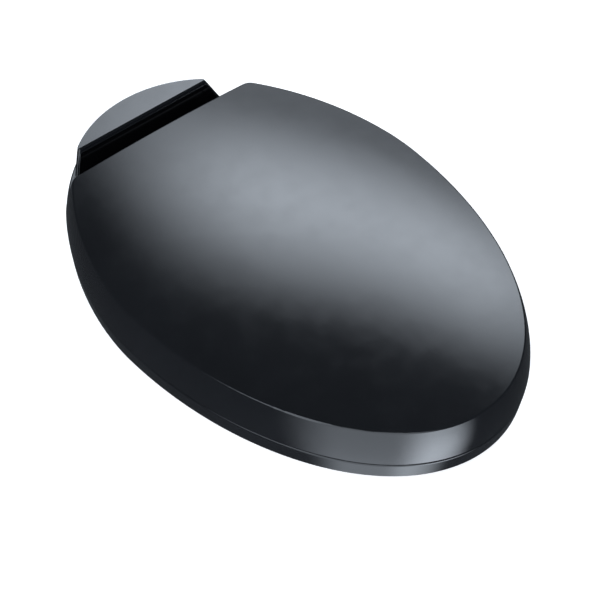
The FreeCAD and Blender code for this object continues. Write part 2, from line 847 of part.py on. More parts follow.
def make_cover():
    low = d.tray_top
    lid_plate = rounded(seat_loft(0, [low, d.band_top], FAR), d.band_edge, lip_at(d.band_top, FAR))
    lid_plate = lid_plate.common(slab(low, d.band_top, FAR, d.case_front))
    crown = crown_form(0, low)
    crown = rounded(crown, d.face_bevel, front_face_edge)
    outside = lid_plate.fuse([crown, deck_form(0, low), shoulder_form(0, low)])
    wall = d.case_wall
    plate_room = seat_loft(wall, [low - 1, d.band_top - wall], FAR)
    inside = plate_room.common(slab(low - 1, d.band_top - wall, FAR, d.case_front + wall))
    inside = inside.fuse([crown_form(wall, low - 1), deck_form(wall, low - 1), shoulder_form(wall, low - 1)])
    shell = outside.cut(inside)
    posts = screw_posts(d.post_radius, d.tray_top - d.catch_height)
    shell = shell.fuse([post.common(inside) for post in posts])
    shell = shell.cut(shaft_bore(d.shaft_radius + d.play)).cut(fascia_form(d.running)).cut(housing_cuts())
    shell = shell.cut(Part.makeCompound(screw_posts(d.screw_radius, 0)))
    keep(solid(shell.removeSplitter()), "housing_cover")
    keep(solid(fascia_form(0)), "fascia")


def screw_posts(radius, low):
    """Upright cylinders at the four cover screws, from a level to just under the shoulder's top."""
    high = d.shoulder_height - d.case_wall - (0 if low else d.screw_end_gap)
    return [Part.makeCylinder(radius, high - low, V(x, y, low)) for x, y in SCREW_SPOTS]


def front_face_edge(edge):
    """The crown's front top edge and the two side edges of its leaning face."""
    ends = [v.Point for v in edge.Vertexes]
    on_face = all(abs(p.y - face_line(p.z)) < 0.01 for p in ends)
    return on_face and max(p.z for p in ends) > d.crown_height - 0.01


def fascia_form(grow):
    """The window plate let into the leaning face, with a plain border all round."""
    slope = math.sqrt(1 + d.face_lean**2)
    top = d.crown_height - d.fascia_border
    low = d.groove_height + d.fascia_foot
    half_top = d.crown_half_width - d.fascia_border + grow
    half_low = half_top + (top - low) * crown_flare()
    outline = [
        (-half_low, low),
        (half_low, low),
        (half_top, top + grow),
        (-half_top, top + grow),
    ]
    wire = Part.makePolygon([V(x, face_line(z), z) for x, z in outline + outline[:1]])
    inward = V(0, 1 / slope, -d.face_lean / slope)
    return Part.Face(wire).extrude(inward * (d.fascia_thickness + grow))


def make_tray():
    outer = seat_loft(0, [d.pad_height, d.tray_top], FAR)
    outer = outer.common(slab(d.pad_height, d.tray_top, FAR, d.case_front))
    wall = d.case_wall
    room = seat_loft(wall, [d.pad_height + wall, d.tray_top + 1], FAR)
    room = room.common(slab(d.pad_height + wall, d.tray_top + 1, FAR, d.case_front + wall))
    sleeves = [button_hole(y, d.play + wall / 2, d.sleeve_depth) for y in CONTROLS.values()]
    tray = outer.cut(room).fuse([sleeve.common(outer) for sleeve in sleeves])
    tray = tray.cut(housing_cuts()).cut(Part.makeCompound(screw_posts(d.screw_radius, 0)))
    heads = [Part.makeCylinder(d.screw_head, wall / 2, V(x, y, d.pad_height)) for x, y in SCREW_SPOTS]
    keep(solid(tray.cut(Part.makeCompound(heads)).removeSplitter()), "base_tray")

    screws = []
    for x, y in SCREW_SPOTS:
        shank_length = "shoulder_height - case_wall - screw_end_gap - pad_height - play"
        shank = rod("screw_radius", shank_length, (str(x), str(y), "pad_height"))
        head = rod("screw_head", "case_wall / 2", (str(x), str(y), "pad_height"))
        screws.append(join(shank, head))
    keep(join(*screws), "cover_screws")


# ---------------------------------------------------------------- wash wands
WAND_HOME = ("0", "wand_tip_line", "wand_tip_height")
TOOTH_PITCH = "(3.14159265 * gear_module)"
ADDENDUM = "(0.8 * gear_module)"
DEDENDUM = "(1.1 * gear_module)"
HALF_TOOTH = f"({TOOTH_PITCH} / 4 - backlash / 2)"
FLANK_SLOPE = "0.364"
PINION_RADIUS = "(pinion_teeth * gear_module / 2)"
RACK_PITCH_X = "(wand_spacing / 2 + pitch_offset)"
WAND_FLAT = "(wand_radius - wand_flat_depth)"
TEETH_BEFORE = 3
RACK_TEETH = math.ceil(d.wand_travel / (math.pi * d.gear_module)) + 2 * TEETH_BEFORE
RACK_LENGTH = f"(pinion_at - rack_start + {RACK_TEETH - TEETH_BEFORE} * {TOOTH_PITCH})"


def tilted(obj):
    """Puts a piece drawn along the wands' own axes in place: y runs back from the tips."""
    return placed(obj, WAND_HOME, WAND_TURN)


def wand_point(x, y, z):
    """A point given along the wands' own axes, as expressions in the seat's frame."""
    sine = "sin(wand_slope * 1 deg)"
    cosine = "cos(wand_slope * 1 deg)"
    return (
        x,
        f"wand_tip_line + ({y}) * {cosine} - ({z}) * {sine}",
        f"wand_tip_height + ({y}) * {sine} + ({z}) * {cosine}",
    )


def make_nozzle_bay():
    nose_at = ("0", "nose_length / 2 - nose_overhang", "-nose_height / 2")
    nose = block(("nose_width", "nose_length", "nose_height"), nose_at)
    reach = "(pitch_offset + gear_module + wand_gap)"
    passages = []
    for side in (-1, 1):
        x = f"{side} * wand_spacing / 2"
        passages.append(rod("wand_radius + wand_gap", "3 * nose_length", (x, "-nose_length", "0"), BACK))
        slot_size = (reach, "3 * nose_length", "rack_height + 2 * wand_gap")
        slot_x = f"{side} * (wand_spacing / 2 + {reach} / 2)"
        passages.append(block(slot_size, (slot_x, "0", "-rack_height / 2 - wand_gap")))
    keep(tilted(cut(nose, *passages)), "nozzle_bay")

    start = "(nose_length - nose_overhang)"
    end = f"(rack_start + {RACK_LENGTH})"
    rail = body_at(WAND_HOME, WAND_TURN)
    sketch = sketch_on(rail)
    half = "(nose_width / 2 - nose_overhang)"
    polygon(sketch, [(f"-{half}", start), (half, start), (half, end), (f"-{half}", end)])
    lower(sketch, "-nose_height / 2")
    pad(rail, sketch, "nose_height / 2 - wand_radius - wand_gap")
    keep(rail, "wand_rail")


def lower(sketch, height):
    """Moves a sketch off its plane by a bound height."""
    sketch.AttachmentOffset = FreeCAD.Placement(V(0, 0, number(height)), FreeCAD.Rotation())
    sketch.setExpression("AttachmentOffset.Base.z", expression(height))


def make_wand(side, name):
    x = f"{side} * wand_spacing / 2"
    tube = rod("wand_radius", "wand_length - tip_length", (x, "tip_length", "0"), BACK)
    bore = rod("wand_bore", "wand_length", (x, "tip_length", "0"), BACK)
    flat_at = (f"{x} + {side} * ({WAND_FLAT} + wand_radius / 2)", "rack_start + wand_length / 2", "-wand_radius")
    flat = block(("wand_radius", "wand_length", "2 * wand_radius"), flat_at)
    keep(tilted(cut(tube, bore, flat)), f"{name}_wand")

    nose = cone("wand_radius * 0.7", "wand_radius", "tip_length / 4", (x, "0", "0"), BACK)
    barrel = rod("wand_radius", "tip_length * 3 / 4", (x, "tip_length / 4", "0"), BACK)
    holes = [
        rod("spray_radius", "wand_radius", (f"{x} + {across}", f"tip_length / 2 + {along}", "wand_radius / 2"))
        for across, along in spray_pattern(side)
    ]
    keep(tilted(cut(join(nose, barrel), *holes)), f"{name}_wand_tip")
    make_rack(side, name)


def spray_pattern(side):
    """Spray holes as (across, along): five in a cross on the rear wand, two rows of four on the front one."""
    if side < 0:
        steps = [(0, 0), (1, 0), (-1, 0), (0, 1), (0, -1)]
        return [(f"{across} * cleaning_pitch", f"{along} * cleaning_pitch") for across, along in steps]
    return [(f"{i - 1.5} * shower_pitch", f"{row} * shower_pitch") for row in (-1, 1) for i in range(4)]


def make_rack(side, name):
    """The toothed strip on a wand's outer side, in mesh with its pinion at rest."""
    rack = body_at(WAND_HOME, WAND_TURN)
    back_x = f"{side} * (wand_spacing / 2 + {WAND_FLAT})"
    root_x = f"{side} * ({RACK_PITCH_X} - {DEDENDUM})"
    tip_x = f"{side} * ({RACK_PITCH_X} + {ADDENDUM})"
    end = f"(rack_start + {RACK_LENGTH})"
    strip = sketch_on(rack)
    polygon(strip, [(back_x, "rack_start"), (root_x, "rack_start"), (root_x, end), (back_x, end)])
    lower(strip, "-rack_height / 2")
    pad(rack, strip, "rack_height")
    first = f"(pinion_at - {TEETH_BEFORE - 0.5} * {TOOTH_PITCH})"
    root_half = f"({HALF_TOOTH} + {DEDENDUM} * {FLANK_SLOPE})"
    tip_half = f"({HALF_TOOTH} - {ADDENDUM} * {FLANK_SLOPE})"
    tooth = sketch_on(rack)
    polygon(
        tooth,
        [
            (root_x, f"{first} - {root_half}"),
            (tip_x, f"{first} - {tip_half}"),
            (tip_x, f"{first} + {tip_half}"),
            (root_x, f"{first} + {root_half}"),
        ],
    )
    lower(tooth, "-rack_height / 2")
    one = pad(rack, tooth, "rack_height")
    doc.recompute()
    row = rack.newObject("PartDesign::LinearPattern", "Feature")
    row.Originals = [one]
    row.Direction = (tooth, ["V_Axis"])
    row.Occurrences = RACK_TEETH
    bind(row, Length=f"{RACK_TEETH - 1} * {TOOTH_PITCH}")
    rack.Tip = row
    keep(rack, f"{name}_wand_rack")


def make_drive(side, name):
    """A pinion beside the rack, with its stub in the motor above."""
    x = f"{side} * ({RACK_PITCH_X} + {PINION_RADIUS})"
    pinion = body_at(wand_point(x, "pinion_at", "-rack_height / 2"), WAND_TURN)
    hub = f"({PINION_RADIUS} - {DEDENDUM})"
    disc = sketch_on(pinion)
    circle(disc, "0", "0", hub)
    pad(pinion, disc, "rack_height")
    stub = sketch_on(pinion)
    circle(stub, "0", "0", "stub_radius")
    pad(pinion, stub, "rack_height + motor_gap + motor_height / 2")
    tooth = sketch_on(pinion)
    inner = f"{-side} * ({hub} - 0.4)"
    pitch = f"{-side} * {PINION_RADIUS}"
    outer = f"{-side} * ({PINION_RADIUS} + {ADDENDUM})"
    polygon(
        tooth,
        [
            (inner, f"-{HALF_TOOTH} - 0.1"),
            (pitch, f"-{HALF_TOOTH}"),
            (outer, f"-{HALF_TOOTH} / 2"),
            (outer, f"{HALF_TOOTH} / 2"),
            (pitch, HALF_TOOTH),
            (inner, f"{HALF_TOOTH} + 0.1"),
        ],
    )
    around(pinion, pad(pinion, tooth, "rack_height"), int(d.pinion_teeth))
    keep(pinion, f"{name}_pinion")

    depth = "(motor_height / 2 + 1)"
    motor = turned(
        [
            ("stub_radius + play", "0"),
            ("motor_radius", "0"),
            ("motor_radius", "motor_height"),
            ("0", "motor_height"),
            ("0", depth),
            ("stub_radius + play", depth),
        ],
        wand_point(x, "pinion_at", "rack_height / 2 + motor_gap"),
        WAND_UP,
    )
    keep(motor, f"{name}_motor")


# ---------------------------------------------------------------- hinge shafts and dampers
def make_hinge():
    """Two shafts on the hinge line. Each starts in its own damper and ends in the lid's lug."""
    for side, damper, in ((-1, "ring"), (1, "lid")):
        outward = V(side, 0, 0)
        start = f"{side} * (deck_half_width - case_wall - damper_length)"
        housing = turned(
            [
                ("shaft_radius + running", "damper_length / 3"),
                ("shaft_radius + running", "damper_length"),
                ("damper_radius", "damper_length"),
                ("damper_radius", "0"),
                ("0", "0"),
                ("0", "damper_length / 3"),
            ],
            (start, *SHAFT_LINE),
            outward,
        )
        keep(housing, f"{damper}_damper")
        shaft_start = f"{side} * (deck_half_width - case_wall - damper_length * 2 / 3 + play)"
        length = "lid_lug_out - deck_half_width + case_wall + damper_length * 2 / 3 - play"
        keep(rod("shaft_radius", length, (shaft_start, *SHAFT_LINE), outward), f"{damper}_damper_shaft")


# ---------------------------------------------------------------- mounting
def make_mounting():
    base = body_at()
    outline = sketch_on(base)
    polygon(outline, rectangle("2 * plate_half_length", "2 * plate_half_width"))
    pad(base, outline, "plate_thickness")
    for half_width, depth, floor in (
        ("(washer_radius + play)", "plate_thickness - sink_floor", "sink_floor"),
        ("(bolt_radius + play)", "plate_thickness", "0"),
        ("(bush_radius + bush_room)", "bush_seat", "0"),
    ):
        slots = sketch_on(base)
        for side in (-1, 1):
            x = f"{side} * bolt_spacing / 2"
            reach = f"({half_width} + slot_reach / 2)"
            polygon(
                slots,
                [
                    (f"{x} - {half_width}", f"-{reach}"),
                    (f"{x} + {half_width}", f"-{reach}"),
                    (f"{x} + {half_width}", reach),
                    (f"{x} - {half_width}", reach),
                ],
            )
        lower(slots, floor)
        pocket(base, slots, depth, True)
    hook = sketch_on(base)
    end = latch_end()
    post = rectangle("catch_length", "catch_width")
    polygon(hook, [(f"{end.x} + ({x})", f"{end.y} + ({y})") for x, y in post])
    pad(base, hook, "pad_height + case_wall + catch_height")
    keep(base, "mounting_plate")

    washers, bolts, bushes, nuts = [], [], [], []
    for side in (-1, 1):
        x = f"{side} * bolt_spacing / 2"
        washer = rod("washer_radius", "washer_thickness", (x, "0", "sink_floor"))
        washers.append(cut(washer, rod("bolt_radius + play", "washer_thickness", (x, "0", "sink_floor"))))
        foot = "(-nut_depth - nut_height)"
        head_low = "(sink_floor + washer_thickness)"
        shank = rod("bolt_radius", f"{head_low} - {foot}", (x, "0", foot))
        head = rod("head_radius", "head_height", (x, "0", head_low))
        socket = rod("socket_radius", "head_height", (x, "0", f"{head_low} + head_height / 3"))
        bolts.append(cut(join(shank, head), socket))
        sleeve = rod("bush_radius", "bush_length + bush_seat", (x, "0", "-bush_length"))
        bore = rod("bolt_radius", "nut_depth + bush_seat", (x, "0", "-nut_depth"))
        bushes.append(cut(sleeve, bore, rod("nut_radius", "nut_height", (x, "0", foot))))
        nut = rod("nut_radius", "nut_height", (x, "0", foot))
        nuts.append(cut(nut, rod("bolt_radius", "nut_height", (x, "0", foot))))
    keep(join(*washers), "fixing_washers")
    keep(join(*bolts), "fixing_bolts")
    keep(join(*bushes), "expansion_bushes")
    keep(join(*nuts), "fixing_nuts")

    feet = []
    for side in (-1, 1):
        for end in ("front", "rear"):
            at = (f"{side} * {end}_foot_x", f"{end}_foot_y", "0")
            feet.append(rod("foot_radius", "pad_height", at))
    keep(join(*feet), "housing_pads")


# ---------------------------------------------------------------- services inside the housing
def rear_wall(x, level):
    """Where the housing's outer wall stands at a given x behind the widest line."""
    inset = lean_at(level)
    share = x / (d.half_width - inset)
    return d.widest_line + (d.rear_reach - inset) * (1 - share**d.rear_fullness) ** (1 / d.rear_fullness)


def thread_start():
    """Where the inlet's thread starts: just clear of the curved wall beside it."""
    return rear_wall(d.inlet_x - d.inlet_radius - 1, d.inlet_z) + 2 * d.play


def make_water():
    valve = ("valve_length", "valve_depth", "valve_height")
    keep(block(valve, ("inlet_x", "valve_y", TRAY_FLOOR)), "valve_block")
    coil_x = "inlet_x - valve_length / 2"
    coil_level = f"{TRAY_FLOOR} + valve_height / 2"
    coil = rod("coil_radius", "coil_length", (coil_x, "valve_y", coil_level), V(-1, 0, 0))
    plunger_at = (f"{coil_x} - coil_length", "valve_y", coil_level)
    plunger = rod("plunger_radius", "coil_length * 2 / 3", plunger_at, RIGHT)
    keep(cut(coil, plunger), "solenoid_coil")

    back = "(valve_y + valve_depth / 2)"
    wall = rear_wall(d.inlet_x, d.inlet_z)
    shoulder = f"{wall} - inlet_shoulder - {back}"
    start = f"{thread_start()} - {back}"
    end = f"{thread_start()} + inlet_thread - {back}"
    seat = f"{wall} - {back}"
    nipple = turned(
        [
            ("inlet_bore", "0"),
            ("inlet_stem", "0"),
            ("inlet_stem", shoulder),
            ("inlet_neck", shoulder),
            ("inlet_neck", start),
            ("inlet_radius", start),
            ("inlet_radius", end),
            ("inlet_mouth", end),
            ("inlet_mouth", seat),
            ("inlet_bore", seat),
        ],
        ("inlet_x", back, "inlet_z"),
        BACK,
    )
    keep(nipple, "water_inlet")
    bore = "(strainer_radius - strainer_wall)"
    strainer = turned(
        [
            (bore, "0"),
            ("inlet_mouth", "0"),
            ("inlet_mouth", "strainer_wall"),
            ("strainer_radius", "strainer_wall"),
            ("strainer_radius", "strainer_length"),
            (bore, "strainer_length"),
        ],
        ("inlet_x", str(wall), "inlet_z"),
        BACK,
    )
    keep(strainer, "inlet_strainer")

    tank = body_at(("tank_x", "tank_y", TRAY_FLOOR))
    outline = sketch_on(tank)
    polygon(outline, rectangle("tank_length", "tank_length"))
    full_tank = pad(tank, outline, "tank_height")
    doc.recompute()
    edges = enumerate(tank.Shape.Edges, 1)
    upright = [f"Edge{i}" for i, e in edges if e.BoundBox.ZLength > d.tank_height - 1]
    corners = tank.newObject("PartDesign::Fillet", "Feature")
    corners.Base = (full_tank, upright)
    bind(corners, Radius="tank_corner")
    posts = sketch_on(tank)
    for x, y in board_corners():
        circle(posts, x, y, "standoff_radius")
    pad(tank, posts, "tank_height + standoff_height")
    keep(tank, "heater_tank")

    port_y = "(tank_y + tank_length / 2)"
    hose_at = ("inlet_x + supply_hose_shift", port_y, f"{TRAY_FLOOR} + hose_level")
    gap = f"valve_y - valve_depth / 2 - {port_y}"
    hose_bore = rod("hose_radius - hose_wall", gap, hose_at, BACK)
    keep(cut(rod("hose_radius", gap, hose_at, BACK), hose_bore), "supply_hose")
    size = ("diverter_length", "diverter_width", "diverter_length")
    keep(block(size, ("diverter_x", "diverter_y", TRAY_FLOOR)), "diverter")
    keep(solid(bent_hose()), "warm_water_hose")


def bent_hose():
    """A hose from the tank's rear face, turning towards the middle, to the diverter's side."""
    level = d.pad_height + d.case_wall + d.hose_level
    port_x = d.diverter_x + d.diverter_length / 2
    start = V(port_x + d.hose_bend, d.tank_y + d.tank_length / 2, level)
    turn_start = V(start.x, d.diverter_y - d.hose_bend, level)
    end = V(port_x, d.diverter_y, level)
    slant = d.hose_bend * math.sqrt(0.5)
    middle = V(port_x + slant, turn_start.y + slant, level)
    turn = Part.Arc(turn_start, middle, end).toShape()
    path = Part.Wire([Part.LineSegment(start, turn_start).toShape(), turn])
    radii = (d.hose_radius, d.hose_radius - d.hose_wall)
    rings = [Part.Wire([Part.Circle(start, BACK, radius).toShape()]) for radius in radii]
    tubes = [path.makePipeShell([ring], True, False) for ring in rings]
    return tubes[0].cut(tubes[1])


def board_corners():
    """The four places, from a square board's middle, where it is screwed down."""
    reach = "(tank_length / 2 - tank_corner)"
    return [(f"{side} * {reach}", f"{end} * {reach}") for side in (-1, 1) for end in (-1, 1)]


def gland_start():
    """Where the gland's flange starts inside the curved wall."""
    lowest = d.gland_z - d.gland_flange
    return rear_wall(d.gland_x + d.gland_flange, lowest) - 1.2 * d.case_wall - d.play - d.gland_flange_length


def make_electrics():
    supply_x = "-deck_half_width + case_wall + supply_gap + supply_length / 2"
    supply_at = (supply_x, "tank_y", f"{TRAY_FLOOR} + supply_lift")
    keep(block(("supply_length", "supply_length", "supply_height"), supply_at), "power_supply")
    board_low = f"{TRAY_FLOOR} + tank_height + standoff_height"
    holes = [(x, y, "board_hole") for x, y in board_corners()]
    board_at = ("tank_x", "tank_y", board_low)
    board = plate(rectangle("tank_length", "tank_length"), "board_thickness", board_at, holes)
    keep(board, "control_board")
    top = f"{board_low} + board_thickness"
    half = "processor_side / 2"
    processor = ("processor_side", "processor_side", "processor_height")
    relay = ("relay_length", "relay_width", "relay_height")
    chips = [
        block(processor, (f"tank_x - {half} - 1", f"tank_y - {half} + 1", top)),
        rod("capacitor_radius", "capacitor_height", ("tank_x + processor_side - 1", f"tank_y + {half} - 1", top)),
        block(relay, ("tank_x + processor_side", "tank_y - processor_side", top)),
    ]
    keep(join(*chips), "board_parts")
    gland = turned(
        [
            ("cord_radius", "0"),
            ("gland_flange", "0"),
            ("gland_flange", "gland_flange_length"),
            ("gland_radius", "gland_flange_length"),
            ("gland_radius", "gland_length - gland_tip"),
            ("gland_tip", "gland_length"),
            ("cord_radius", "gland_length"),
        ],
        ("gland_x", str(gland_start()), "gland_z"),
        BACK,
    )
    keep(gland, "cord_gland")


def make_fan():
    low = TRAY_FLOOR
    can = rod("fan_radius", "fan_height", ("fan_x", "fan_y", low))
    room = rod("fan_radius - fan_wall", "fan_height - 2 * fan_wall", ("fan_x", "fan_y", f"{low} + fan_wall"))
    eye = rod("fan_radius / 2", "fan_height", ("fan_x", "fan_y", f"{low} + 2 * fan_wall"))
    opening = ("duct_width - 2 * duct_wall", "2 * fan_radius", "duct_height - 2 * duct_wall")
    mouth_z = f"{low} + duct_wall"
    mouths = [block(opening, ("fan_x", f"fan_y + {end} * fan_radius", mouth_z)) for end in (-1, 1)]
    spindle = rod("spindle_radius", "fan_height / 2", ("fan_x", "fan_y", low))
    keep(join(cut(can, room, eye, *mouths), spindle), "fan_case")
    wheel = body_at(("fan_x", "fan_y", f"{low} + fan_wall + 2 * play"))
    blade_height = "fan_height - 2 * fan_wall - 5 * play"
    hub = sketch_on(wheel)
    circle(hub, "0", "0", "fan_hub")
    circle(hub, "0", "0", "spindle_radius + 2 * running")
    pad(wheel, hub, blade_height)
    blade = sketch_on(wheel)
    tip = "(fan_radius - fan_tip_gap)"
    root = "(fan_hub - blade_thickness)"
    half = "blade_thickness / 2"
    profile = [
        (root, f"-{half}"),
        (tip, f"blade_sweep - {half}"),
        (tip, f"blade_sweep + {half}"),
        (root, half),
    ]
    polygon(blade, profile)
    one = pad(wheel, blade, blade_height)
    around(wheel, one, int(d.fan_blades))
    keep(wheel, "fan_wheel")

    length = "fan_y - fan_radius - case_front - case_wall"
    middle = "(fan_y - fan_radius + case_front + case_wall) / 2"
    duct = block(("duct_width", length, "duct_height"), ("fan_x", middle, low))
    passage = ("duct_width - 2 * duct_wall", f"2 * ({length})", "duct_height - 2 * duct_wall")
    keep(cut(duct, block(passage, ("fan_x", middle, f"{low} + duct_wall"))), "deodoriser_duct")
    filter_y = "fan_y + fan_radius + filter_depth / 2 + play"
    case = block(("filter_width", "filter_depth", "duct_height"), ("fan_x", filter_y, low))
    slot = ("filter_slot", "3 * filter_depth", "duct_height - 2 * duct_wall")
    slots = [block(slot, (f"fan_x + {i} * filter_pitch", filter_y, mouth_z)) for i in FILTER_SLOTS]
    keep(cut(case, *slots), "carbon_filter")


# ---------------------------------------------------------------- side controls
def wall_spot(y, level):
    """A point on the right-hand wall at the line y, and the wall's outward direction there."""
    inset = lean_at(level)
    angle = rear_angle(inset, y)
    x, _ = rear_point(inset, angle)
    step = 0.01
    ahead = rear_point(inset, angle + step)
    behind = rear_point(inset, angle - step)
    along = V(ahead[0] - behind[0], ahead[1] - behind[1], 0).normalize()
    return V(x, y, level), V(along.y, -along.x, 0)


def button_hole(y, grow, depth):
    """A cylinder square to the right-hand wall, reaching a depth behind it and well out of it."""
    spot, out = wall_spot(y, d.button_height)
    return Part.makeCylinder(d.button_radius + grow, depth + d.button_depth, spot - out * depth, out)


def latch_end():
    """The middle of the catch that stands on the mounting plate, just clear of the pressed latch bar."""
    spot, out = wall_spot(d.release_y, d.button_height)
    return spot - out * (d.button_depth + d.latch_length + d.latch_travel) - V(d.catch_gap, 0, 0)


def behind_wall(y, depth):
    """A place a depth behind the wall at a button, as expressions, and the wall's outward direction."""
    spot, out = wall_spot(y, d.button_height)
    return [str(value) for value in spot - out * depth], out


def make_controls():
    flange = "(button_radius + button_flange)"
    top = "(button_depth + button_proud)"
    profile = [
        ("0", "0"),
        (flange, "0"),
        (flange, "button_edge"),
        ("button_radius", "button_edge"),
        ("button_radius", f"{top} - button_edge"),
        ("button_radius - button_edge", top),
        ("0", top),
    ]
    for name, y in CONTROLS.items():
        at, out = behind_wall(y, d.button_depth)
        keep(turned(profile, at, out), name)
    switches = []
    for y in (d.power_y, d.wash_y):
        at, out = behind_wall(y, d.button_depth + d.button_travel + d.switch_gap)
        switches.append(rod("switch_radius", "switch_length", at, -out))
    keep(join(*switches), "button_switches")
    at, out = behind_wall(d.release_y, d.button_depth)
    keep(rod("latch_radius", "latch_length", at, -out), "latch_bar")


# ---------------------------------------------------------------- housing openings
def housing_cuts():
    """Everything that passes through the tray's and the cover's walls."""
    reach = 4 * d.inlet_thread
    inlet_at = V(d.inlet_x, rear_wall(d.inlet_x, d.inlet_z) - reach / 2, d.inlet_z)
    gland_at = V(d.gland_x, gland_start() + d.gland_flange_length, d.gland_z)
    tools = [
        Part.makeCylinder(d.inlet_neck + d.play, reach, inlet_at, BACK),
        Part.makeCylinder(d.gland_radius + d.play, reach, gland_at, BACK),
        nose_space(d.play),
    ]
    tools += [button_hole(y, d.play, d.button_depth + d.sleeve_depth) for y in CONTROLS.values()]
    low = d.pad_height + d.case_wall + d.duct_wall
    high = d.duct_height - 2 * d.duct_wall
    wide = d.duct_width - 2 * d.duct_wall
    corner = V(d.fan_x - wide / 2, d.case_front - 2 * d.case_wall, low)
    tools.append(Part.makeBox(wide, 4 * d.case_wall, high, corner))
    for i in FILTER_SLOTS:
        corner = V(d.fan_x + i * d.filter_pitch - d.filter_slot / 2, d.fan_y + d.fan_radius, low)
        tools.append(Part.makeBox(d.filter_slot, reach, high, corner))
    end = latch_end()
    wide = d.catch_length + 2 * d.play
    deep = d.catch_width + 2 * d.play
    tools.append(Part.makeBox(wide, deep, d.button_height, V(end.x - wide / 2, end.y - deep / 2, 0)))
    return Part.makeCompound(tools)


# ---------------------------------------------------------------- build and write
make_lid()
make_ring()
make_ring_fittings()
make_cover()
make_tray()
make_nozzle_bay()
for side, name in ((-1, "rear"), (1, "front")):
    make_wand(side, name)
    make_drive(side, name)
make_hinge()
make_water()
make_electrics()
make_fan()
make_controls()
make_mounting()

doc.recompute()
for obj in doc.Objects:
    if {"Invalid", "Error"} & set(obj.State):
        raise RuntimeError(f"{obj.Label} failed: {obj.State}")
os.makedirs("parts", exist_ok=True)
for obj in subparts:
    if obj.Shape.isNull() or not obj.Shape.isValid():
        raise RuntimeError(f"{obj.Label} has no valid shape")
    obj.Shape.exportStep(f"parts/{obj.Label}.step")
print(len(subparts), "sub-parts written")
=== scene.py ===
import json
import math

import bpy
from mathutils import Matrix, Vector


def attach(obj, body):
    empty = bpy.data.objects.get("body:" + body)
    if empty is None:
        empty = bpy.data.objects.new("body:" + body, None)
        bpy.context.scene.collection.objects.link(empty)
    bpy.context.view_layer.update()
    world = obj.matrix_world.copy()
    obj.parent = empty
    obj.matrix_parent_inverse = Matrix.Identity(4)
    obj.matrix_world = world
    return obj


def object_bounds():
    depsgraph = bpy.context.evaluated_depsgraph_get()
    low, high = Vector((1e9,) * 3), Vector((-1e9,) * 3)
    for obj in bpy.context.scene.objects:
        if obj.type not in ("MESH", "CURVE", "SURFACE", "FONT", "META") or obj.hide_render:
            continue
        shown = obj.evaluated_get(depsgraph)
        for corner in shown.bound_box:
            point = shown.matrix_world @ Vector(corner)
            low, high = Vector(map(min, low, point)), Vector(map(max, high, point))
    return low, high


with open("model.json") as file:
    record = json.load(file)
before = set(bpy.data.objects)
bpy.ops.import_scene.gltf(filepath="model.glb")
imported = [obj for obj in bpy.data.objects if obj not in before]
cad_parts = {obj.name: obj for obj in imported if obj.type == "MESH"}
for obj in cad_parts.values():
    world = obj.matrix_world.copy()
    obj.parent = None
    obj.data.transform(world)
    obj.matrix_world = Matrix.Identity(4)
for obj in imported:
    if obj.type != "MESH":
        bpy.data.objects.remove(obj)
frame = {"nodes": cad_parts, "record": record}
cad_low, cad_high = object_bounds()

# ---------------------------------------------------------------- camera
CAMERA_AIM = Vector((0.0025, -0.2088, -0.0157))
CAMERA_AZIMUTH = math.radians(-43.57)
CAMERA_ELEVATION = math.radians(48.87)
CAMERA_ROLL = math.radians(2.99)
CAMERA_DISTANCE = 1.7274
CAMERA_LENS = 105.32
SENSOR_WIDTH = 36.0


def add_camera():
    """A long lens from the seat's front left, above it, rolled a little."""
    flat = math.cos(CAMERA_ELEVATION)
    back = Vector((math.sin(CAMERA_AZIMUTH) * flat, -math.cos(CAMERA_AZIMUTH) * flat, 0.0))
    back.z = math.sin(CAMERA_ELEVATION)
    level = Vector((math.cos(CAMERA_AZIMUTH), math.sin(CAMERA_AZIMUTH), 0.0))
    upright = back.cross(level)
    right = math.cos(CAMERA_ROLL) * level + math.sin(CAMERA_ROLL) * upright
    turn = Matrix((right, back.cross(right), back)).transposed()
    camera = bpy.data.objects.new("camera", bpy.data.cameras.new("camera"))
    camera.data.lens = CAMERA_LENS
    camera.data.sensor_width = SENSOR_WIDTH
    camera.matrix_world = Matrix.Translation(CAMERA_AIM + CAMERA_DISTANCE * back) @ turn.to_4x4()
    bpy.context.scene.collection.objects.link(camera)
    bpy.context.scene.camera = camera


# ---------------------------------------------------------------- node helpers
def add_node(tree, kind, inputs=None, **settings):
    """A shader node with its settings, and its inputs by name: a plain value, or another node's output."""
    node = tree.nodes.new("ShaderNode" + kind)
    for name, value in settings.items():
        setattr(node, name, value)
    for name, value in (inputs or {}).items():
        if isinstance(value, bpy.types.NodeSocket):
            tree.links.new(value, node.inputs[name])
        else:
            node.inputs[name].default_value = value
    return node


def maths(tree, operation, first, second=0.0):
    return add_node(tree, "Math", {0: first, 1: second}, operation=operation).outputs[0]


def ramp(tree, value, low, high, start=0.0, end=1.0, smooth=True):
    """Carries a value from one range to another, held at both ends."""
    kind = "SMOOTHSTEP" if smooth else "LINEAR"
    inputs = {"Value": value, "From Min": low, "From Max": high, "To Min": start, "To Max": end}
    return add_node(tree, "MapRange", inputs, interpolation_type=kind).outputs["Result"]


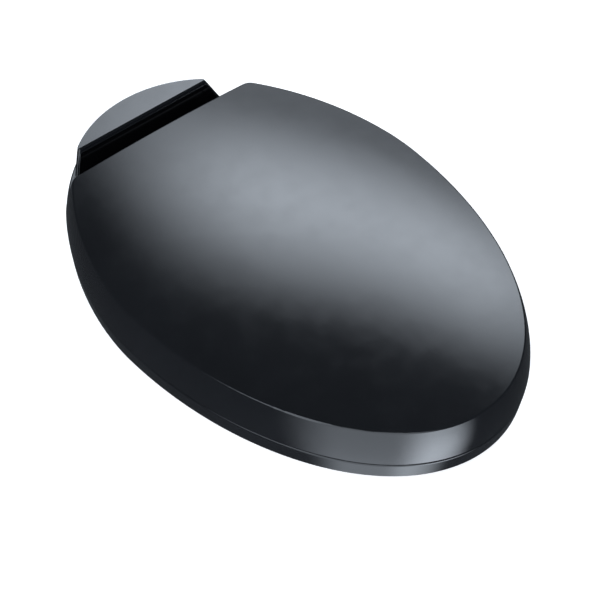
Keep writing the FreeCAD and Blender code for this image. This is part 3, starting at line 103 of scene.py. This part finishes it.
# ---------------------------------------------------------------- studio
# each soft panel: azimuth from the rear towards the right in degrees, height in degrees, soft edges, strength
SOFT_PANELS = [
    ((34, 66), (40, 49), (9, 5), 8.2),
    ((26, 78), (14, 40), (10, 8), 1.7),
    ((172, 202), (-58, 0), (14, 30), 7.4),
    ((192, 250), (-72, 74), (12, 24), 2.5),
    ((250, 280), (24, 80), (6, 8), 3.0),
]
ROOM_LIGHT = 0.07
STUDIO_TINT = (0.82, 0.9, 1.0, 1.0)
FLOOR_GAP = 0.004  # under the lowest bolt
FLOOR_SIZE = 12.0
FLOOR_GLOW = 0.72
FLOOR_COLOUR = (0.86, 0.86, 0.865, 1.0)


def panel_light(tree, azimuth, height, sides, ends, soft, strength):
    """One soft panel on the studio's walls: full between its sides and ends, fading over its soft edges."""
    fade = None
    for angle, (low, high), edge in ((azimuth, sides, soft[0]), (height, ends, soft[1])):
        rising = ramp(tree, angle, math.radians(low - edge), math.radians(low + edge))
        falling = ramp(tree, angle, math.radians(high - edge), math.radians(high + edge), 1.0, 0.0)
        part = maths(tree, "MULTIPLY", rising, falling)
        fade = part if fade is None else maths(tree, "MULTIPLY", fade, part)
    return maths(tree, "MULTIPLY", fade, strength)


def add_studio():
    """A dim room with soft panels, and a pale self-lit floor under the lowest bolt."""
    world = bpy.data.worlds.new("studio")
    world.use_nodes = True
    tree = world.node_tree
    direction = add_node(tree, "TexCoord").outputs["Generated"]
    parts = add_node(tree, "SeparateXYZ", {0: direction}).outputs
    azimuth = maths(tree, "FLOORED_MODULO", maths(tree, "ARCTAN2", parts["X"], parts["Y"]), 2 * math.pi)
    height = maths(tree, "ARCSINE", parts["Z"])
    light = ROOM_LIGHT
    for sides, ends, soft, strength in SOFT_PANELS:
        light = maths(tree, "ADD", panel_light(tree, azimuth, height, sides, ends, soft, strength), light)
    background = tree.nodes["Background"]
    background.inputs["Color"].default_value = STUDIO_TINT
    tree.links.new(light, background.inputs["Strength"])
    bpy.context.scene.world = world
    bpy.context.scene.view_settings.view_transform = "Standard"

    bpy.ops.object.select_all(action="DESELECT")
    bpy.ops.mesh.primitive_plane_add(size=FLOOR_SIZE, location=(0, 0, cad_low.z - FLOOR_GAP))
    floor = bpy.context.object
    floor.name = "floor"
    floor.visible_glossy = False
    paint = bpy.data.materials.new("floor")
    paint.use_nodes = True
    shader = paint.node_tree.nodes["Principled BSDF"]
    shader.inputs["Base Color"].default_value = FLOOR_COLOUR
    shader.inputs["Roughness"].default_value = 0.9
    shader.inputs["Specular IOR Level"].default_value = 0.0
    shader.inputs["Emission Color"].default_value = (1.0, 1.0, 1.0, 1.0)
    shader.inputs["Emission Strength"].default_value = FLOOR_GLOW
    floor.data.materials.append(paint)


# ---------------------------------------------------------------- finishes
def new_finish(name):
    material = bpy.data.materials.new(name)
    material.use_nodes = True
    return material, material.node_tree, material.node_tree.nodes["Principled BSDF"]


def pattern(tree, kind, scale, detail=2.0, stretch=(1.0, 1.0, 1.0)):
    """A noise or cell pattern on the piece's own coordinates, in metres."""
    place = add_node(tree, "TexCoord").outputs["Object"]
    mapped = add_node(tree, "Mapping", {"Vector": place, "Scale": stretch}).outputs["Vector"]
    if kind == "cells":
        return add_node(tree, "TexVoronoi", {"Vector": mapped, "Scale": scale}).outputs["Distance"]
    return add_node(tree, "TexNoise", {"Vector": mapped, "Scale": scale, "Detail": detail}).outputs[0]


def tinted(tree, value, dark, light):
    """A colour that drifts between two tones."""
    mix = add_node(tree, "Mix", {0: value}, data_type="RGBA")
    mix.inputs["A"].default_value = (*dark, 1.0)
    mix.inputs["B"].default_value = (*light, 1.0)
    return mix.outputs["Result"]


def scaled(colour, share):
    return tuple(channel * share for channel in colour)


def finish(
    name, colour, rough, drift=0.15, grain=900.0, depth=0.0, wear=0.06, metal=0.0, specular=0.5, **extra
):
    """A moulded, cast or drawn surface: two drifting tones, uneven gloss, and a fine raised grain."""
    material, tree, shader = new_finish(name)
    broad = ramp(tree, pattern(tree, "noise", 9.0, 3.0), 0.3, 0.7)
    fine = pattern(tree, extra.get("kind", "noise"), grain, 3.0, extra.get("stretch", (1.0, 1.0, 1.0)))
    tone = tinted(tree, broad, scaled(colour, 1.0 - drift), scaled(colour, 1.0 + drift))
    tree.links.new(tone, shader.inputs["Base Color"])
    scuff = ramp(tree, pattern(tree, "noise", 55.0, 6.0), 0.35, 0.75, rough, rough + wear)
    grained = ramp(tree, fine, 0.2, 0.8, -wear / 3, wear / 3, smooth=False)
    tree.links.new(maths(tree, "ADD", scuff, grained), shader.inputs["Roughness"])
    bump = add_node(tree, "Bump", {"Height": fine, "Distance": 0.0005, "Strength": depth})
    tree.links.new(bump.outputs["Normal"], shader.inputs["Normal"])
    shader.inputs["Metallic"].default_value = metal
    shader.inputs["Specular IOR Level"].default_value = specular
    return material


FINISHES = {
    "gloss_shell": finish("polished_black", (0.0085, 0.0092, 0.0108), 0.1, 0.1, 260.0, 0.012, 0.03),
    "window": finish("window_black", (0.002, 0.002, 0.0024), 0.06, 0.1, 300.0, 0.004, 0.02, specular=0.4),
    "inner_plastic": finish("satin_black", (0.014, 0.015, 0.017), 0.38, 0.15, 1500.0, 0.12, 0.12),
    "part_plastic": finish("off_white_plastic", (0.66, 0.67, 0.65), 0.42, 0.05, 1200.0, 0.08, 0.12),
    "tank_plastic": finish("grey_plastic", (0.42, 0.45, 0.47), 0.45, 0.06, 1100.0, 0.1, 0.12),
    "gear": finish("natural_acetal", (0.8, 0.77, 0.68), 0.36, 0.05, 1300.0, 0.05, 0.1),
    "wand": finish("smooth_light_plastic", (0.74, 0.76, 0.78), 0.2, 0.04, 900.0, 0.02, 0.08),
    "foil": finish("creased_foil", (0.75, 0.76, 0.78), 0.3, 0.05, 140.0, 0.6, 0.2, metal=1.0, kind="cells"),
    "board": finish("green_board", (0.012, 0.14, 0.05), 0.25, 0.2, 420.0, 0.2, 0.1, kind="cells"),
    "coil": finish("black_potting", (0.03, 0.03, 0.033), 0.5, 0.2, 700.0, 0.3, 0.15),
    "hose": finish("grey_hose", (0.45, 0.47, 0.49), 0.5, 0.08, 800.0, 0.15, 0.12),
    "rubber": finish("black_rubber", (0.018, 0.018, 0.018), 0.72, 0.2, 1400.0, 0.3, 0.15),
    "steel": finish(
        "drawn_steel", (0.56, 0.57, 0.58), 0.3, 0.06, 2200.0, 0.08, 0.12, 1.0, stretch=(1, 1, 0.06)
    ),
    "brass": finish(
        "turned_brass", (0.72, 0.52, 0.24), 0.28, 0.08, 2000.0, 0.08, 0.12, 1.0, stretch=(1, 0.06, 1)
    ),
}


def dress_nodes():
    """Gives every CAD node the finish of its record slot."""
    for row in frame["record"]["subparts"]:
        materials = frame["nodes"][row["node"]].data.materials
        materials.clear()
        materials.append(FINISHES[row["material_slot"]])


# ---------------------------------------------------------------- trim
BEAD_RADIUS = 0.0006
BEAD_SIDES = 24
BEAD_EASE = 0.7  # share of the radius
BEAD_SMOOTH = math.radians(40)


def add_bar(start, end, radius):
    """A round bar between two points, its ends eased."""
    along = end - start
    turn = along.to_track_quat("Z", "Y").to_euler()
    bpy.ops.object.select_all(action="DESELECT")
    bpy.ops.mesh.primitive_cylinder_add(
        vertices=BEAD_SIDES, radius=radius, depth=along.length, location=(start + end) / 2, rotation=turn
    )
    bar = bpy.context.object
    bpy.ops.object.transform_apply(location=True, rotation=True, scale=True)
    ease = bar.modifiers.new("ease", "BEVEL")
    ease.width = radius * BEAD_EASE
    ease.segments = 3
    ease.limit_method = "ANGLE"
    bpy.ops.object.modifier_apply(modifier="ease")
    return bar


def add_window_bead():
    """The thin half-round trim along the window's top and leaning sides, half sunk in the face."""
    corners = [vertex.co for vertex in frame["nodes"]["fascia"].data.vertices]
    low = min(corners, key=lambda point: point.y)
    top = max(corners, key=lambda point: point.z)
    half_low = abs(low.x)
    half_top = abs(top.x)
    bars = []
    for side in (-1, 1):
        foot = Vector((side * half_low, low.y, low.z))
        head = Vector((side * half_top, top.y, top.z))
        bars.append(add_bar(foot, head, BEAD_RADIUS))
    left_end = Vector((-half_top, top.y, top.z))
    right_end = Vector((half_top, top.y, top.z))
    bars.append(add_bar(left_end, right_end, BEAD_RADIUS))
    bpy.ops.object.select_all(action="DESELECT")
    for bar in bars:
        bar.select_set(True)
    bpy.context.view_layer.objects.active = bars[0]
    bpy.ops.object.join()
    bead = bpy.context.object
    bead.name = "window_bead"
    bpy.ops.object.shade_smooth_by_angle(angle=BEAD_SMOOTH)
    bead.data.materials.clear()
    bead.data.materials.append(FINISHES["gloss_shell"])
    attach(bead, "housing")


add_camera()
add_studio()
dress_nodes()
add_window_bead()
